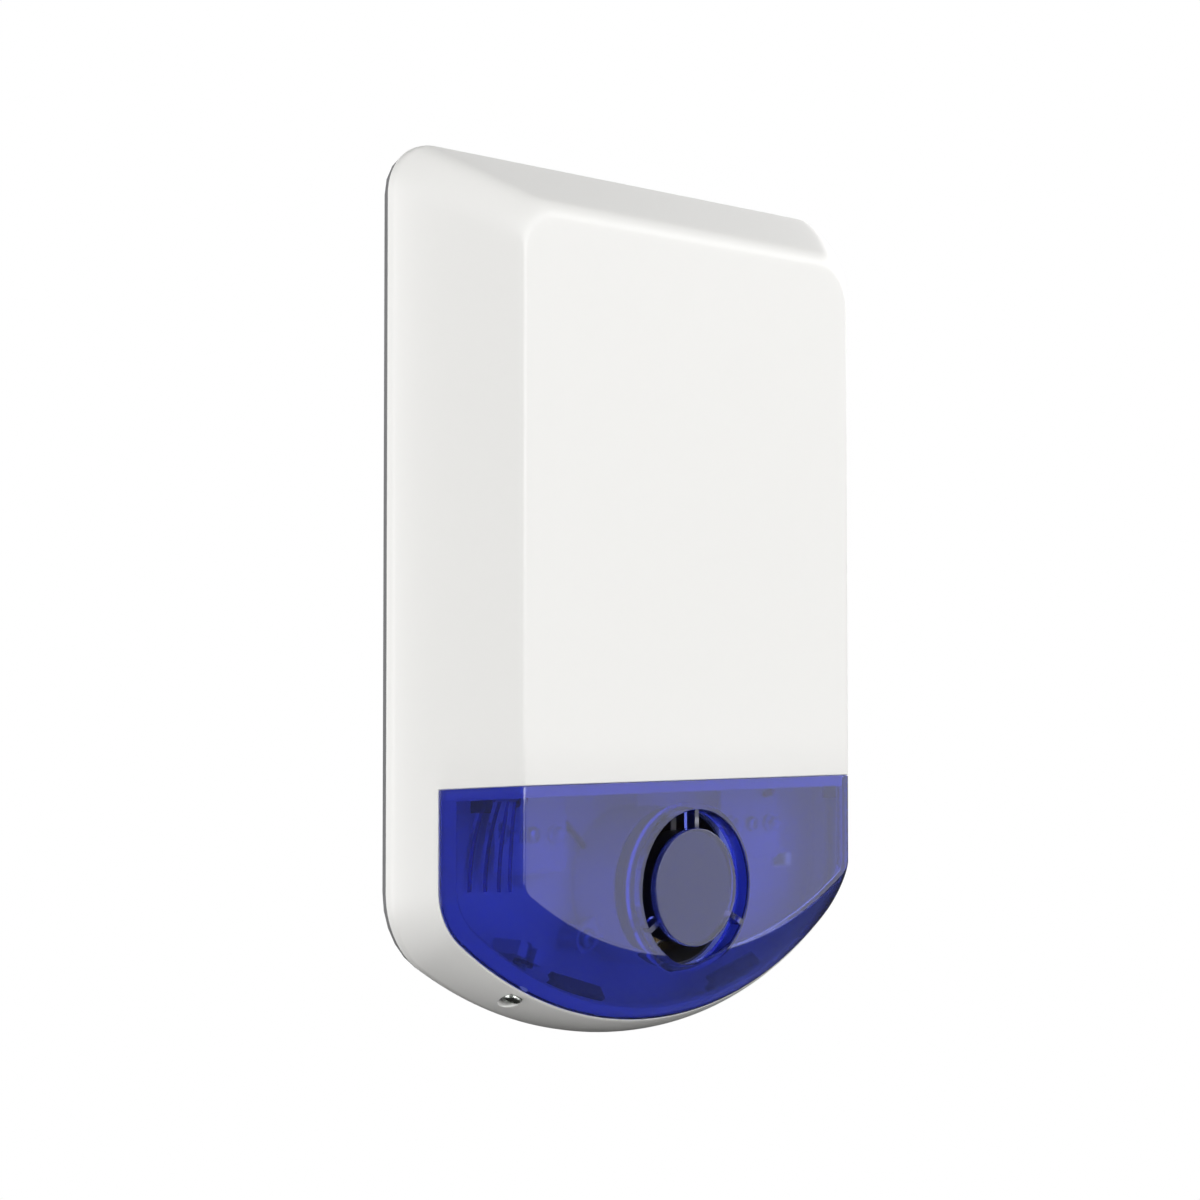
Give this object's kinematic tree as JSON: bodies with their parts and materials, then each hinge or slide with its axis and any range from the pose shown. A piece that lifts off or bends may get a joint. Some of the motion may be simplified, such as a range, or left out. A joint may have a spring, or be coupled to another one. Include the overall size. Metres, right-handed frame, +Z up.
{
  "type": "alarm siren",
  "caption": "Wall-mounted outdoor alarm siren: sloped white cover hinged at its top, blue strobe lens with a ring-shaped sound slot, piezo sounder, circuit boards, battery and tamper switches.",
  "frame": {"origin": "middle of the back plate's rear face, which lies on the wall", "axes": "+X to the right seen from the front, +Y into the wall (the front faces -Y), +Z up"},
  "size_m": [0.22, 0.038, 0.3],
  "materials": {
    "white_abs": "satin moulded",
    "grey_abs": "satin moulded",
    "black_plastic": "satin moulded",
    "blue_lens": "polished translucent",
    "seal_foam": "closed-cell foam",
    "rubber": "matte",
    "zinc_steel": "zinc plated",
    "brass": "rolled sheet",
    "circuit_board": "solder mask",
    "white_board": "white solder mask",
    "terminal_green": "moulded",
    "cell_sleeve": "shrink sleeve",
    "led_clear": "clear epoxy",
    "wire_red": "PVC insulation",
    "wire_black": "PVC insulation",
    "copper_coil": "enamelled copper winding"
  },
  "bodies": {
    "base": {"sounder_housing": "white_abs", "back_plate": "white_abs", "battery_socket": "white_abs", "battery_plug": "white_abs", "sounder_socket": "white_abs", "sounder_plug": "white_abs", "battery_bracket": "grey_abs", "controller_chip": "black_plastic", "reservoir_capacitor": "black_plastic", "jumper_header": "black_plastic", "tamper_switch": "black_plastic", "button_base": "black_plastic", "wall_tamper_switch": "black_plastic", "sounder_horn": "black_plastic", "wall_seal": "seal_foam", "cable_grommet": "rubber", "tamper_spring": "zinc_steel", "wall_tamper_spring": "zinc_steel", "board_screw_1": "zinc_steel", "board_screw_2": "zinc_steel", "board_screw_3": "zinc_steel", "board_screw_4": "zinc_steel", "bracket_screw_1": "zinc_steel", "bracket_screw_2": "zinc_steel", "sounder_screw_1": "zinc_steel", "sounder_screw_2": "zinc_steel", "sounder_screw_3": "zinc_steel", "strobe_screw_left": "zinc_steel", "strobe_screw_right": "zinc_steel", "piezo_element": "brass", "main_board": "circuit_board", "strobe_board_left": "white_board", "strobe_board_right": "white_board", "terminal_block": "terminal_green", "battery_cell_1": "cell_sleeve", "battery_cell_2": "cell_sleeve", "battery_cell_3": "cell_sleeve", "battery_cell_4": "cell_sleeve", "battery_cell_5": "cell_sleeve", "battery_cell_6": "cell_sleeve", "strobe_led_left_1": "led_clear", "strobe_led_left_2": "led_clear", "strobe_led_right_1": "led_clear", "strobe_led_right_2": "led_clear", "battery_lead": "wire_red", "strobe_lead_left": "wire_red", "strobe_lead_right": "wire_red", "sounder_lead": "wire_black", "driver_coil": "copper_coil"},
    "cover": {"front_cover": "white_abs", "siren_lens": "blue_lens", "lens_clip_upper_left": "black_plastic", "lens_clip_upper_right": "black_plastic", "lens_clip_lower_left": "black_plastic", "lens_clip_lower_right": "black_plastic"},
    "cover_screw": {"cover_screw": "zinc_steel", "cover_screw_washer": "rubber"},
    "cover_tamper": {"tamper_plunger": "white_abs"},
    "wall_tamper": {"wall_tamper_plunger": "grey_abs"},
    "button": {"test_button": "grey_abs"}
  },
  "joints": [
    {"name": "cover_hinge", "type": "hinge", "parent": "base", "child": "cover", "pos_m": [0, -0.0026, 0.15], "axis": [-1, 0, 0], "range_deg": [0, 60]},
    {"name": "cover_screw_slide", "type": "slide", "parent": "cover", "child": "cover_screw", "axis": [-0.4116, 0, -0.9113], "range_m": [0, 0.007]},
    {"name": "cover_tamper_slide", "type": "slide", "parent": "base", "child": "cover_tamper", "axis": [0, -1, 0], "range_m": [0, 0.003], "deforming": ["tamper_spring"]},
    {"name": "wall_tamper_slide", "type": "slide", "parent": "base", "child": "wall_tamper", "axis": [0, 1, 0], "range_m": [0, 0.003], "stiffness_N_per_m": 60, "springref_m": 0.004, "deforming": ["wall_tamper_spring"]},
    {"name": "test_button_slide", "type": "slide", "parent": "base", "child": "button", "axis": [0, 1, 0], "range_m": [0, 0.0005], "stiffness_N_per_m": 400}
  ],
  "couplings": [
    {"joint": "cover_tamper_slide", "follows": "cover_hinge", "m_per_rad": 0.0028619}
  ]
}
